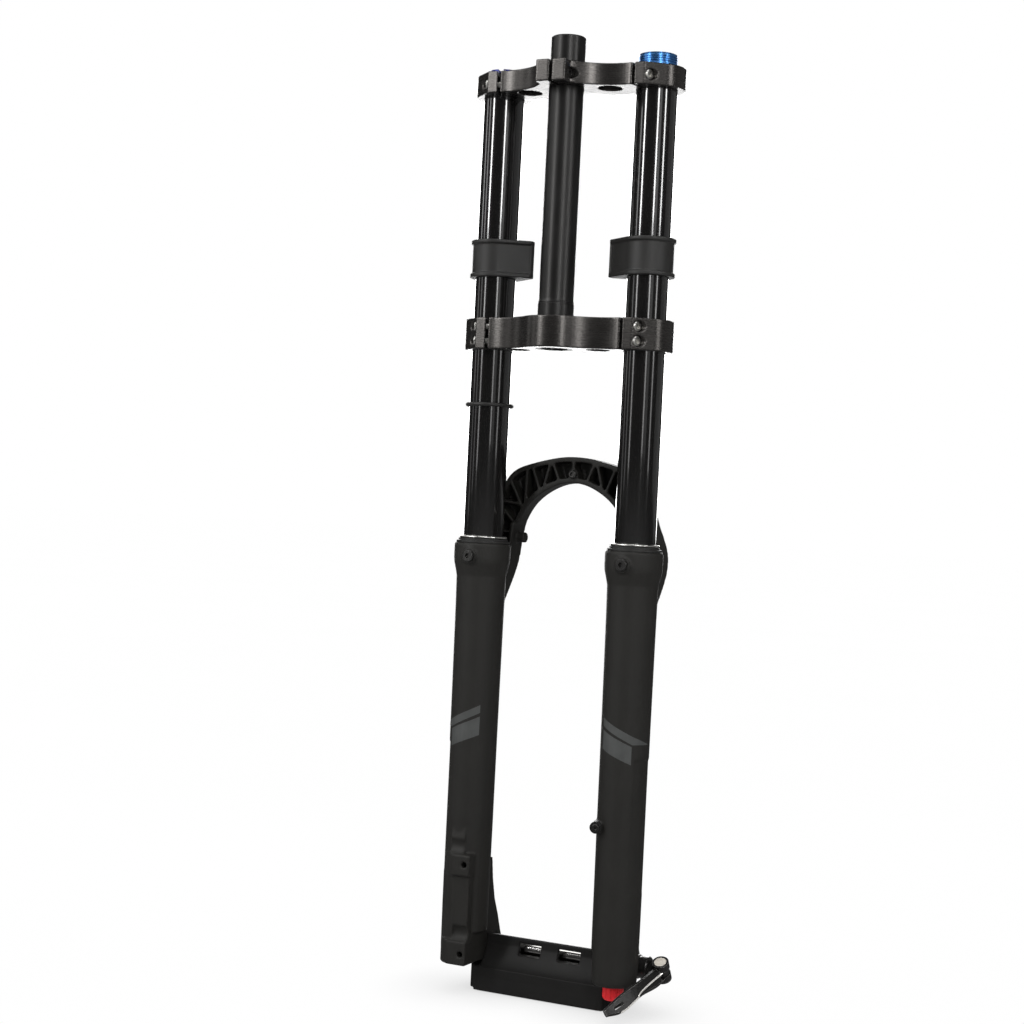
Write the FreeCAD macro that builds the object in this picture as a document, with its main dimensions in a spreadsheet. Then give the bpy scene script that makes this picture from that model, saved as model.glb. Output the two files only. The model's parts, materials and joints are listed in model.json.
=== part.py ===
import FreeCAD, Part
import Sketcher
import math
import os

# Dual-crown bicycle suspension fork.
# Frame: +Z up the steerer, +Y forward, +X towards the drive side.
# Origin: steerer axis at the crown-race seat, the top face of the lower crown.
# The damper is in the drive-side leg, the air spring in the other.  Millimetres.

doc = FreeCAD.newDocument("SuspensionFork")
sheet = doc.addObject("Spreadsheet::Sheet", "Dims")
Vector = FreeCAD.Vector
Rotation = FreeCAD.Rotation


class Size:
    """A number together with the sheet expression that gives it."""

    def __init__(self, value, formula):
        self.value = float(value)
        self.formula = formula

    @property
    def bound(self):
        return "Dims." in self.formula

    def __add__(self, other):
        other = size(other)
        return Size(self.value + other.value, "(%s + %s)" % (self.formula, other.formula))

    def __radd__(self, other):
        return size(other) + self

    def __sub__(self, other):
        other = size(other)
        return Size(self.value - other.value, "(%s - %s)" % (self.formula, other.formula))

    def __rsub__(self, other):
        return size(other) - self

    def __mul__(self, other):
        other = size(other)
        return Size(self.value * other.value, "(%s * %s)" % (self.formula, other.formula))

    def __rmul__(self, other):
        return size(other) * self

    def __neg__(self):
        return Size(-self.value, "(0 - %s)" % self.formula)


def size(number):
    if isinstance(number, Size):
        return number
    return Size(number, "(%r)" % float(number))


sheet_rows = []


def dim(alias, value):
    """Add a driving dimension to the sheet."""
    sheet_rows.append(alias)
    row = len(sheet_rows)
    sheet.set("A%d" % row, alias)
    sheet.set("B%d" % row, repr(float(value)))
    sheet.setAlias("B%d" % row, alias)
    return Size(value, "Dims." + alias)


# ---------------------------------------------------------------- dimensions
half_gap = dim("half_spacing", 69.0)          # stanchion axis to centre plane
lead = dim("crown_offset", 25.0)              # stanchion axis ahead of steerer
steer_rad = dim("steerer_rad", 14.3)
steer_bore = dim("steerer_bore_rad", 11.4)
seat_rad = dim("race_seat_rad", 15.0)
seat_len = dim("race_seat_len", 12.0)
steer_top = dim("steerer_top", 228.0)
low_thick = dim("lower_crown_thick", 25.5)
up_low = dim("upper_crown_bottom", 186.4)
up_high = dim("upper_crown_top", 204.0)
tube_rad = dim("stanchion_rad", 17.0)
tube_bore = dim("stanchion_bore_rad", 15.0)
tube_top = dim("stanchion_top", 205.4)
tube_low = dim("stanchion_bottom", -366.0)
clamp_rad = dim("clamp_rad", 23.4)
front_trim = dim("crown_front", 47.6)
hole_rad = dim("lightening_rad", 10.0)
lug_half = dim("steerer_lug_half", 13.0)
lug_rear = dim("steerer_lug_rear", -32.4)
slot_half = dim("clamp_slot_half", 1.3)
scoop_rad = dim("crown_scallop_rad", 50.8)
scoop_x = dim("crown_scallop_x", 53.0)
scoop_y = dim("crown_scallop_y", -54.6)
stem_low = dim("stem_zone_bottom", 206.8)     # clamp zone above the register groove
rim_z = dim("lowers_rim", -186.5)
bulge_rad = dim("bulge_rad", 23.75)
bore_rad = dim("leg_bore_rad", 17.9)
floor_z = dim("leg_floor", -508.0)
foot_z = dim("foot_bottom", -537.0)
drop_half = dim("dropout_half_gap", 55.0)
axle_y = dim("axle_lead", 54.0)
axle_z = dim("axle_height", -527.0)
axle_rad = dim("axle_rad", 7.5)
bush_rad = dim("bushing_bore_rad", 17.05)
seal_rad = dim("seal_seat_rad", 21.2)
arch_back = dim("arch_rear_plane", 49.0)
arch_front = dim("arch_front_plane", 65.0)
arch_skin = dim("arch_skin", 3.2)
arch_lip_out = dim("arch_outer_flange", 4.0)
arch_lip_in = dim("arch_inner_flange", 4.6)
arch_rib = dim("arch_rib", 2.3)
post_x = dim("brake_post_x", -60.0)
post_face = dim("brake_post_face", 0.5)
post_high = dim("brake_post_upper", -453.5)
post_gap = dim("brake_post_spacing", 74.2)
post_hole = dim("brake_hole_rad", 2.5)
bump_low = dim("bumper_bottom", 35.5)
bump_high = dim("bumper_top", 66.5)
ring_z = dim("travel_ring_height", -70.9)
rod_rad = dim("rod_rad", 5.0)
lever_tilt = dim("lever_pin_tilt", 60.0)
cam_x = dim("cam_pin_x", 99.0)
cam_rad = dim("cam_head_rad", 6.9)
knob_rad = dim("rebound_knob_rad", 8.65)
spacer_rear = dim("spacer_rear_face", 26.0)
spacer_rim = dim("spacer_rim", -515.5)
doc.recompute()

# Places shared by several pieces
up_thick = up_high - up_low
up_bolt_z = up_low + 7.6
LOW_BOLT_Z = [-6.9, -18.7]
bleed_y = lead - 25.0              # rear face of the bleed bosses
bleed_z = rim_z - 11
ARCH_SCREW_Z = -125.5
GUIDE_BASE = (51.494, 18.021, -409.0)
GUIDE_OUT = (0.300, -0.954, 0)     # cable-guide axis: rearward, a little outboard

SIDES = (("R", 1), ("L", -1))
LONG_SIDES = (("left", -1), ("right", 1))
DRIVE, REAR = (1, 0, 0), (0, -1, 0)


# ------------------------------------------------------------------- helpers
def aim(direction):
    """Rotation that swings +Z onto a direction."""
    return Rotation(Vector(0, 0, 1), Vector(*direction))


TO_X = aim(DRIVE)
TO_Y = aim((0, 1, 0))


def along(point, direction, distance):
    return tuple(start + step * distance for start, step in zip(point, direction))


def span(middle, side, near, far):
    """Low and high x of a range that lies off middle, on the given side."""
    return (middle + near, middle + far) if side > 0 else (middle - far, middle - near)


def link(obj, path, amount):
    if amount.bound:
        obj.setExpression(path, amount.formula)


def bind(obj, prop, amount):
    amount = size(amount)
    setattr(obj, prop, amount.value)
    link(obj, prop, amount)


def place(obj, x=0, y=0, z=0, turn=None):
    base = [size(x), size(y), size(z)]
    obj.Placement = FreeCAD.Placement(Vector(*[c.value for c in base]), turn or Rotation())
    for coordinate, axis in zip(base, "xyz"):
        link(obj, ".Placement.Base." + axis, coordinate)
    return obj


def cyl(name, radius, height, x=0, y=0, z=0, turn=None):
    obj = doc.addObject("Part::Cylinder", name)
    bind(obj, "Radius", radius)
    bind(obj, "Height", height)
    return place(obj, x, y, z, turn)


def pair(name, radius, height, x, y, z):
    """Upright cylinders at +x and -x."""
    return [cyl(name + tag, radius, height, side * x, y, z) for tag, side in SIDES]


def leg_cyl(name, side, radius, height, z):
    return cyl(name, radius, height, side * half_gap, lead, z)


def leg_torus(name, side, major, minor, z):
    obj = doc.addObject("Part::Torus", name)
    bind(obj, "Radius1", major)
    bind(obj, "Radius2", minor)
    return place(obj, side * half_gap, lead, z)


def hex_prism(name, circumradius, height, x, y, z, turn=None):
    obj = doc.addObject("Part::Prism", name)
    obj.Polygon = 6
    obj.Circumradius = circumradius
    obj.Height = height
    return place(obj, x, y, z, turn)


def sized_box(name, length, width, height):
    obj = doc.addObject("Part::Box", name)
    bind(obj, "Length", length)
    bind(obj, "Width", width)
    bind(obj, "Height", height)
    return obj


def box(name, x_span, y_span, z_span):
    """Box between the (low, high) pairs on each axis."""
    spans = (x_span, y_span, z_span)
    obj = sized_box(name, *[size(high) - low for low, high in spans])
    return place(obj, *[low for low, high in spans])


def leg_box(name, side, angle, corner, sizes, z):
    """Box with a corner measured from a leg axis, turned about that axis."""
    turn = Rotation(Vector(0, 0, 1), angle)
    offset = turn.multVec(Vector(corner[0], corner[1], 0))
    obj = sized_box(name, *sizes)
    return place(obj, side * half_gap + offset.x, lead + offset.y, z, turn)


def fuse(name, items):
    obj = doc.addObject("Part::MultiFuse", name)
    obj.Shapes = list(items)
    return obj


def cut(name, base, tools):
    obj = doc.addObject("Part::Cut", name)
    obj.Base = base
    obj.Tool = tools[0] if len(tools) == 1 else fuse(name + "_tools", tools)
    return obj


def group(name, items):
    obj = doc.addObject("Part::Compound", name)
    obj.Links = list(items)
    return obj


def origin_plane(body, role):
    for obj in body.Origin.OriginFeatures:
        if obj.Role == role:
            return obj
    raise RuntimeError("no plane " + role)


def outline(body, name, role, points, offset=0):
    """Closed sketch outline.  A point is (a, b); (a, b, (c, d)) starts an arc
    that runs through (c, d) to the next point."""
    sketch = body.newObject("Sketcher::SketchObject", name)
    sketch.AttachmentSupport = [(origin_plane(body, role), "")]
    sketch.MapMode = "FlatFace"
    offset = size(offset)
    sketch.AttachmentOffset = FreeCAD.Placement(Vector(0, 0, offset.value), Rotation())
    link(sketch, ".AttachmentOffset.Base.z", offset)
    corners = [(size(point[0]), size(point[1])) for point in points]
    spots = [Vector(x.value, y.value, 0) for x, y in corners]
    edges = []      # geometry index, vertex at its start, vertex at its end
    for i, point in enumerate(points):
        start, end = spots[i], spots[(i + 1) % len(points)]
        if len(point) > 2:
            middle = Vector(size(point[2][0]).value, size(point[2][1]).value, 0)
            index = sketch.addGeometry(Part.Arc(start, middle, end), False)
            # a sketch arc runs anticlockwise, so its ends may be swapped
            kept = sketch.Geometry[index].StartPoint.distanceToPoint(start) < 1e-6
            edges.append((index, 1, 2) if kept else (index, 2, 1))
        else:
            index = sketch.addGeometry(Part.LineSegment(start, end), False)
            edges.append((index, 1, 2))
    for this, following in zip(edges, edges[1:] + edges[:1]):
        sketch.addConstraint(Sketcher.Constraint(
            "Coincident", this[0], this[2], following[0], following[1]))
    for (index, vertex, _), (x, y) in zip(edges, corners):
        for coordinate, kind, axis in ((x, "DistanceX", -2), (y, "DistanceY", -1)):
            if coordinate.value == 0 and not coordinate.bound:
                sketch.addConstraint(Sketcher.Constraint("PointOnObject", index, vertex, axis))
            else:
                number = sketch.addConstraint(Sketcher.Constraint(
                    kind, -1, 1, index, vertex, coordinate.value))
                link(sketch, "Constraints[%d]" % number, coordinate)
    return sketch


def turned(name, points, x=0, y=0, z=0, turn=None):
    """Body turned about its own Z axis from (radius, height) points."""
    body = doc.addObject("PartDesign::Body", name)
    sketch = outline(body, name + "_profile", "XZ_Plane", points)
    revolution = body.newObject("PartDesign::Revolution", name + "_turn")
    revolution.Profile = sketch
    revolution.ReferenceAxis = (sketch, ["V_Axis"])
    revolution.Angle = 360
    sketch.Visibility = False
    return place(body, x, y, z, turn)


def leg_turned(name, side, points):
    return turned(name, points, side * half_gap, lead)


def slab(name, role, points, low, high):
    """Body padded from a flat outline.  XZ_Plane runs along Y, YZ_Plane along
    X and XY_Plane along Z, from low to high."""
    body = doc.addObject("PartDesign::Body", name)
    start = -size(high) if role == "XZ_Plane" else size(low)
    sketch = outline(body, name + "_outline", role, points, start)
    pad = body.newObject("PartDesign::Pad", name + "_pad")
    pad.Profile = sketch
    bind(pad, "Length", size(high) - low)
    sketch.Visibility = False
    return body


def leg_slab(name, side, points, low, high):
    """Upright slab from (outboard, forward) points measured from a leg axis."""
    points = [(side * (half_gap + x), lead + y) for x, y in points]
    return slab(name, "XY_Plane", points if side > 0 else points[::-1], low, high)


def screw(name, head, seat, out, shank, socket):
    """Hex-socket screw.  seat is the underside of the head, out points from it
    through the head.  shank is (radius, length, depth of its tip below the seat);
    socket is (circumradius, height, floor above the seat)."""
    turn = aim(out)
    shank_rad, shank_len, depth = shank
    socket_rad, socket_len, floor = socket
    solid = fuse(name + "Raw", [
        turned(name + "Head", head, *seat, turn),
        cyl(name + "Shank", shank_rad, shank_len, *along(seat, out, -depth), turn)])
    hollow = hex_prism(name + "Socket", socket_rad, socket_len, *along(seat, out, floor), turn)
    return cut(name, solid, [hollow])


nodes = []


def node(obj, label):
    """Register a piece for export."""
    obj.Label = label
    nodes.append(obj)


def feature(name, shape):
    """Fixed shape, already in the fork's frame."""
    obj = doc.addObject("Part::Feature", name)
    obj.Shape = shape
    obj.Placement = FreeCAD.Placement()
    return obj


def extruded(points, direction):
    """Solid swept from the closed polygon through the points."""
    return Part.Face(Part.makePolygon(points + points[:1])).extrude(direction)


# -------------------------------------------------------------------- steerer
node(turned("Steerer", [
    (steer_bore, -low_thick), (seat_rad, -low_thick), (seat_rad, seat_len - 1.2),
    (seat_rad - 0.35, seat_len - 0.9), (seat_rad - 0.35, seat_len - 0.3),
    (seat_rad - 0.1, seat_len), (steer_rad + 0.1, seat_len + 1.6), (steer_rad, seat_len + 3.2),
    (steer_rad, stem_low - 0.8), (steer_rad - 0.3, stem_low - 0.6),
    (steer_rad - 0.3, stem_low - 0.2), (steer_rad, stem_low),
    (steer_rad, steer_top - 0.8), (steer_rad - 0.8, steer_top),
    (steer_bore + 0.6, steer_top), (steer_bore, steer_top - 0.6)]), "steerer_tube")

# ---------------------------------------------------------------- crown parts
PINCH_ANGLE = 17.0              # clamp slots lean this far inboard of straight back
PINCH_START = (-6.67, -21.8)    # outboard, forward of the stanchion axis
PINCH_SEAT = 7.2                # head seat along the bolt axis from PINCH_START
BOLT_HOLE_RAD = 2.55
BOLT_SHANK_RAD = 2.45
BOLT_SOCKET_RAD = 2.3
CROWN_CUT = 40.0                # height of the tools that go right through a crown
# (outboard, forward) of the stanchion axis
EAR = [(-19.2, -29.5), (1.0, -29.5), (14.9, -18.0), (12.0, 2.0), (-19.2, 2.0)]
# rear edges of the arms: (outboard, forward) of the steerer axis
UPPER_REAR = [(0.0, -24.0), (12.0, -24.0), (62.0, -24.0), (62.0, 6.0)]
LOWER_REAR = [(0.0, -16.2), (19.7, -16.2), (20.8, -21.0), (62.0, -21.0), (62.0, 6.0)]


def pinch_axis(side, z):
    """Start point and direction of a pinch bolt, which runs outboard and rearward."""
    angle = math.radians(PINCH_ANGLE)
    start = (side * (half_gap + PINCH_START[0]), lead + PINCH_START[1], z)
    return start, (side * math.cos(angle), -math.sin(angle), 0)


def pinch_tools(tag, side, z):
    """Counterbore and drilled hole of a pinch bolt."""
    start, out = pinch_axis(side, z)
    return [cyl("Sink" + tag, 4.5, 20.0, *along(start, out, PINCH_SEAT), aim(out)),
            cyl("Drill" + tag, BOLT_HOLE_RAD, 23.0, *along(start, out, -14.0), aim(out))]


def bolt_head(height):
    return [(0, 0), (4.2, 0), (4.2, height - 0.5), (3.8, height), (0, height)]


def pinch_bolt(tag, side, z):
    """Socket-head bolt; the head seats on the counterbore's floor."""
    start, out = pinch_axis(side, z)
    return screw("Bolt" + tag, bolt_head(4.4), along(start, out, PINCH_SEAT), out,
                 shank=(BOLT_SHANK_RAD, 21.2, 20.7), socket=(BOLT_SOCKET_RAD, 5.0, 2.0))


def clamp_slot(tag, side, low, high):
    """Slot through the stanchion axis, leaning inboard of rear."""
    return leg_box("Slot" + tag, side, -PINCH_ANGLE * side, (-slot_half.value, -40.0),
                   (slot_half * 2, 27.0, size(high) - low + 2), size(low) - 1)


def arm(tag, side, rear, front, low, high):
    """One crown arm, from the centre plane to the stanchion clamp."""
    points = [(side * x, y) for x, y in rear] + [(side * half_gap, front), (0, front)]
    return slab("Arm" + tag, "XY_Plane", points if side > 0 else points[::-1], low, high)


def crown_blank(name, hub, letter, rear, front, low, high):
    """Hub, stanchion clamps, pinch ears and arms, all of full thickness."""
    return fuse(name + "CrownRaw", [
        hub,
        *pair(name + "Clamp", clamp_rad, size(high) - low, half_gap, lead, low),
        *[leg_slab("Ear" + letter + tag, side, EAR, low, high) for tag, side in SIDES],
        *[arm(letter + tag, side, rear, front, low, high) for tag, side in SIDES]])


def upper_crown():
    """Two arms, stanchion clamps and a split steerer clamp with rear lugs."""
    tool_z = up_low - 5
    blank = crown_blank("Upper", cyl("UpperHub", 20.5, up_thick, 0, 0, up_low),
                        "U", UPPER_REAR, 30.0, up_low, up_high)
    arms = cut("UpperCrownArms", blank,
               pair("UpperScallop", scoop_rad, CROWN_CUT, scoop_x, scoop_y, tool_z))
    # the lugs join after the scallops, so the scallops leave them whole
    lugs = box("UpperLugs", (-lug_half, lug_half), (lug_rear, -8.0), (up_low, up_high))
    tools = [
        cyl("UpperBore", steer_rad, CROWN_CUT, 0, 0, tool_z),
        box("UpperSlot", (-slot_half, slot_half), (lug_rear - 1, 0), (up_low - 1, up_high + 1)),
        *pair("UpperBore", tube_rad, CROWN_CUT, half_gap, lead, tool_z),
        *pair("UpperHole", hole_rad, CROWN_CUT, 36.0, 6.5, tool_z),
        cyl("UpperFrontScoop", 46.0, CROWN_CUT, 0, 66.5, tool_z),
        *[clamp_slot("U" + tag, side, up_low, up_high) for tag, side in SIDES],
        cyl("LugDrill", BOLT_HOLE_RAD, 40.0, -20.0, LUG_SEAT[1], up_bolt_z, TO_X),
        cyl("LugSink", 4.3, 20.0, *LUG_SEAT, TO_X)]
    for tag, side in SIDES:
        tools += pinch_tools("U" + tag, side, up_bolt_z)
    return cut("UpperCrown", fuse("UpperCrownJoin", [arms, lugs]), tools)


def lower_crown():
    """Round boss about the steerer, arms and double-bolt stanchion clamps."""
    tool_z = -30.0
    blank = crown_blank("Lower", cyl("LowerHub", 30.0, low_thick, 0, 6.4, -low_thick),
                        "L", LOWER_REAR, 32.0, -low_thick, 0)
    tools = [
        cyl("LowerBore", seat_rad, CROWN_CUT, 0, 0, tool_z),
        *pair("LowerBore", tube_rad, CROWN_CUT, half_gap, lead, tool_z),
        *pair("LowerPit", hole_rad - 0.5, 16.0, 36.0, 7.0, -low_thick - 1),
        box("LowerTrim", (-100.0, 100.0), (front_trim, 80.0), (tool_z, 5.0)),
        cyl("LowerFrontScoop", 46.0, CROWN_CUT, 0, 70.5, tool_z),
        *pair("LowerScallop", scoop_rad, CROWN_CUT, scoop_x, scoop_y, tool_z),
        *[clamp_slot("L" + tag, side, -low_thick, 0) for tag, side in SIDES]]
    for tag, side in SIDES:
        for k, z in enumerate(LOW_BOLT_Z):
            tools += pinch_tools("L%s%d" % (tag, k), side, z)
    return cut("LowerCrown", blank, tools)


LUG_SEAT = (9.0, -21.5, up_bolt_z)     # head seat of the steerer pinch bolt

node(upper_crown(), "upper_crown")
node(screw("LugBolt", bolt_head(3.7), LUG_SEAT, DRIVE,
           shank=(BOLT_SHANK_RAD, 21.5, 21.4), socket=(BOLT_SOCKET_RAD, 5.0, 1.8)),
     "steerer_pinch_bolt")
node(group("UpperBolts", [pinch_bolt("U" + tag, side, up_bolt_z) for tag, side in SIDES]),
     "upper_crown_bolts")
node(lower_crown(), "lower_crown")
node(group("LowerBolts", [pinch_bolt("L%s%d" % (tag, k), side, z)
                          for tag, side in SIDES for k, z in enumerate(LOW_BOLT_Z)]),
     "lower_crown_bolts")

# ----------------------------------------------------------------- stanchions
for tag, side in LONG_SIDES:
    node(leg_turned("Stanchion_" + tag, side, [
        (tube_bore, tube_low), (tube_rad - 0.6, tube_low), (tube_rad, tube_low + 1.5),
        (tube_rad, tube_top - 0.6), (tube_rad - 0.6, tube_top), (tube_bore, tube_top)]),
        "stanchion_" + tag)

# --------------------------------------------------------------- frame bumpers
BUMP_RAD = 20.3
BUMP_NOSE = 32.4      # inboard reach of the blunt nose from the stanchion axis
BUMP_LIP = 3.2        # height of the end lips
BUMP_GROW = 1.5       # how far the lips stand proud


def bumper_layer(tag, side, radius, nose, low, high):
    """Sleeve drawn out inboard to a blunt nose by two tangent faces."""
    lean = math.radians(35.0)
    slope = math.tan(lean)
    tip = radius / math.cos(math.radians(55.0))      # where the tangent faces would meet
    half = (tip - nose) * slope
    tangent_x, tangent_y = radius * math.sin(lean), radius * math.cos(lean)
    wedge = leg_slab("BumpNose" + tag, side, [
        (0.0, 0.0), (-tangent_x, tangent_y), (0.9 - nose, half + 0.9 * slope),
        (-nose, half - 0.7), (-nose, 0.7 - half), (0.9 - nose, -half - 0.9 * slope),
        (-tangent_x, -tangent_y)], low, high)
    return [leg_cyl("BumpRing" + tag, side, radius, size(high) - low, low), wedge]


def bumper(tag, side):
    """Sleeve with end lips and a keel on the nose, split on the outboard side."""
    x = side * half_gap
    layers = []
    for k, (low, high, grow) in enumerate((
            (bump_low, bump_low + BUMP_LIP, BUMP_GROW),
            (bump_high - BUMP_LIP, bump_high, BUMP_GROW),
            (bump_low, bump_high, 0.0))):
        layers += bumper_layer("_%s%d" % (tag, k), side, BUMP_RAD + grow, BUMP_NOSE + grow,
                               low, high)
    layers.append(box("BumpKeel_" + tag, span(x, -side, 30.8, 33.9),
                      (lead - 2.4, lead + 2.4), (bump_low, bump_high)))
    bore = leg_cyl("BumperBore_" + tag, side, tube_rad + 0.02, 60.0, bump_low - 10)
    split = box("BumperSplit_" + tag, span(x, side, 0, 30.0),
                (lead - 0.6, lead + 0.6), (bump_low - 1, bump_high + 1))
    return cut("Bumper_" + tag, fuse("BumperRaw_" + tag, layers), [bore, split])


for tag, side in LONG_SIDES:
    node(bumper(tag, side), "bumper_" + tag)

# -------------------------------------------------------------------- top caps
# grooved plug below the rim, common to both caps: (radius, height)
CAP_PLUG = [(14.9, 186.0), (14.9, 197.0), (12.9, 197.0), (12.9, 199.2), (14.9, 199.2),
            (14.9, tube_top), (16.2, tube_top)]


def air_cap():
    """Cap with eight rim notches, cut by four crossing bars."""
    blank = leg_turned("AirCapRaw", -1, [(4.0, 186.0)] + CAP_PLUG + [
        (16.2, tube_top + 0.9), (15.4, tube_top + 1.3), (15.4, tube_top + 3.0),
        (14.8, tube_top + 3.5), (9.6, tube_top + 3.5), (9.6, tube_top + 1.2),
        (4.0, tube_top + 1.2)])
    length, width = 40.0, 4.6
    notches = [leg_box("CapNotch%d" % k, -1, 45.0 * k + 11.0, (-length / 2, -width / 2),
                       (length, width, 6.0), tube_top + 1.9) for k in range(4)]
    return cut("AirCap", blank, notches)


def damper_cap():
    """Cap with four ridges round its rim and a hexagonal recess."""
    ridges = []
    for k in range(4):
        z = 206.6 + 1.85 * k
        ridges += [(15.8, z), (15.8, z + 0.85), (15.05, z + 1.15), (15.05, z + 1.55)]
    blank = leg_turned("DamperCapRaw", 1, [(0, 186.0)] + CAP_PLUG + [(16.2, 206.2)] + ridges + [
        (15.4, 214.9), (9.0, 214.9), (9.0, 211.4), (0, 211.4)])
    return cut("DamperCap", blank, [hex_prism("DamperCapKey", 6.5, 10.0, half_gap, lead, 206.0)])


node(air_cap(), "air_top_cap")
node(leg_turned("AirValve", -1, [
    (1.2, 180.0), (4.0, 180.0), (4.0, tube_top + 1.2), (5.6, tube_top + 1.2),
    (5.6, tube_top + 1.8), (3.9, tube_top + 2.0), (3.9, tube_top + 2.8),
    (3.4, tube_top + 3.2), (1.2, tube_top + 3.2)]), "air_valve")
node(damper_cap(), "damper_top_cap")
node(group("CapSeals", [leg_torus("CapSeal" + tag, side, 13.95, 0.92, 198.1)
                        for tag, side in SIDES]), "cap_o_rings")
node(group("VolumeSpacers", [
    leg_turned("VolumeA", -1, [
        (4.2, 166.0), (13.0, 166.0), (13.6, 167.0), (13.6, 175.4), (13.0, 175.9), (4.2, 175.9)]),
    leg_turned("VolumeB", -1, [
        (4.2, 176.0), (13.0, 176.0), (13.6, 176.8), (13.6, 185.4), (13.0, 185.9), (4.2, 185.9)])]),
    "volume_spacers")


# ----------------------------------------------------------- damper internals
def rod_profile(tip_z):
    """Hollow rod from the foot stud, past its collar on the leg floor, to the tip."""
    return [(2.6, foot_z + 1.5), (4.95, foot_z + 1.5), (4.95, floor_z + 0.1),
            (8.5, floor_z + 0.1), (8.5, floor_z + 2.0), (rod_rad, floor_z + 2.0),
            (rod_rad, -326.0), (4.0, -326.0), (4.0, tip_z), (2.6, tip_z)]


node(leg_turned("DamperTube", 1, [
    (11.5, -352.0), (12.6, -352.0), (12.6, 185.9), (11.5, 185.9)]), "damper_tube")
node(leg_turned("DamperHead", 1, [
    (5.05, tube_low + 0.5), (14.9, tube_low + 0.5), (14.9, -352.1), (11.45, -352.1),
    (11.45, -343.0), (5.05, -343.0)]), "damper_seal_head")
node(leg_turned("CompressionValve", 1, [
    (2.2, 150.0), (9.0, 150.0), (11.4, 152.5), (11.4, 166.0), (9.8, 166.0), (9.8, 169.0),
    (11.4, 169.0), (11.4, 185.9), (2.2, 185.9)]), "compression_valve")
node(leg_turned("DamperRod", 1, rod_profile(-300.0)), "damper_rod")
node(leg_turned("DamperPiston", 1, [
    (4.0, -325.9), (9.5, -325.9), (11.43, -324.0), (11.43, -319.0), (10.3, -319.0),
    (10.3, -316.0), (11.43, -316.0), (11.43, -313.0), (9.5, -311.5), (4.0, -311.5)]),
    "damper_piston")

# ------------------------------------------------------------ spring internals
node(leg_turned("AirHead", -1, [
    (5.05, tube_low + 0.5), (14.9, tube_low + 0.5), (14.9, -353.0), (12.0, -351.5),
    (5.05, -351.5)]), "air_seal_head")
node(leg_turned("AirShaft", -1, rod_profile(-304.0)), "air_shaft")
node(leg_turned("AirPiston", -1, [
    (4.0, -325.9), (14.93, -325.9), (14.93, -321.0), (12.6, -321.0), (12.6, -315.0),
    (14.93, -315.0), (14.93, -308.0), (12.0, -306.0), (4.0, -306.0)]), "air_piston")
node(leg_turned("PistonSeal", -1, [
    (12.65, -320.8), (14.6, -320.8), (14.94, -319.6), (14.6, -318.0), (14.94, -316.4),
    (14.6, -315.2), (12.65, -315.2)]), "air_piston_seal")
node(leg_turned("TopOut", -1, [
    (5.02, -347.0), (8.6, -347.0), (9.4, -345.0), (9.4, -330.0), (8.6, -326.1),
    (5.02, -326.1)]), "top_out_bumper")

# ------------------------------------------------------------------------ arch
# Edges of the arch seen from the front, from the centre line outwards: (x, z)
ARCH_OUTER = [
    (0.0, -111.0), (11.0, -111.6), (21.0, -113.3), (31.0, -115.6), (41.0, -118.4),
    (50.0, -121.6), (55.0, -124.6), (60.0, -129.8), (64.5, -137.5), (69.0, -149.0),
    (75.6, -167.5), (81.5, -181.0), (84.6, -193.0), (84.6, -204.0), (81.5, -222.0),
    (76.0, -244.0), (70.0, -268.0)]
ARCH_INNER = [
    (0.0, -132.9), (11.0, -134.3), (21.0, -138.2), (30.0, -143.6), (37.0, -149.6),
    (43.0, -157.4), (47.0, -165.6), (49.3, -175.0), (50.4, -188.0), (52.0, -204.0),
    (56.5, -224.0), (62.0, -246.0), (67.0, -268.0)]
# Centre lines of the ribs on the drive side: x, z to x, z
ARCH_RIBS = [
    (20.5, -113.0, 10.8, -136.5), (20.5, -113.0, 28.8, -144.0), (39.5, -117.0, 28.8, -144.0),
    (42.8, -117.5, 43.6, -158.0), (60.5, -128.0, 44.0, -159.0), (70.0, -149.5, 47.0, -152.5),
    (70.0, -149.5, 49.5, -173.0), (78.0, -176.0, 49.0, -176.5), (80.0, -178.0, 56.0, -200.0)]
ARCH_START_Y = 26.0     # rear end of the extruded arch
POCKET_RUN = 30.0       # how far the pocket tool starts behind the arch's rear plane


def at_y(points, y):
    """Vectors from (x, z) points in the plane y."""
    return [Vector(x, y, z) for x, z in points]


def mirrored(shape):
    return shape.mirror(Vector(0, 0, 0), Vector(1, 0, 0))


def arch_edge(points):
    """Smooth edge through the points and their mirror images."""
    spline = Part.BSplineCurve()
    spline.interpolate(at_y([(-x, z) for x, z in points[:0:-1]] + points, ARCH_START_Y))
    return spline.toShape()


def shifted(points, distance):
    """Points moved square to their line by distance, positive towards the outer edge."""
    moved = []
    for i, (x, z) in enumerate(points):
        # the neighbour before the first point is the mirror image of the second
        before = points[i - 1] if i else (-points[1][0], points[1][1])
        after = points[min(i + 1, len(points) - 1)]
        run, rise = after[0] - before[0], after[1] - before[1]
        length = math.hypot(run, rise)
        moved.append((x - rise / length * distance, z + run / length * distance))
    moved[0] = (0.0, moved[0][1])
    return moved


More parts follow.
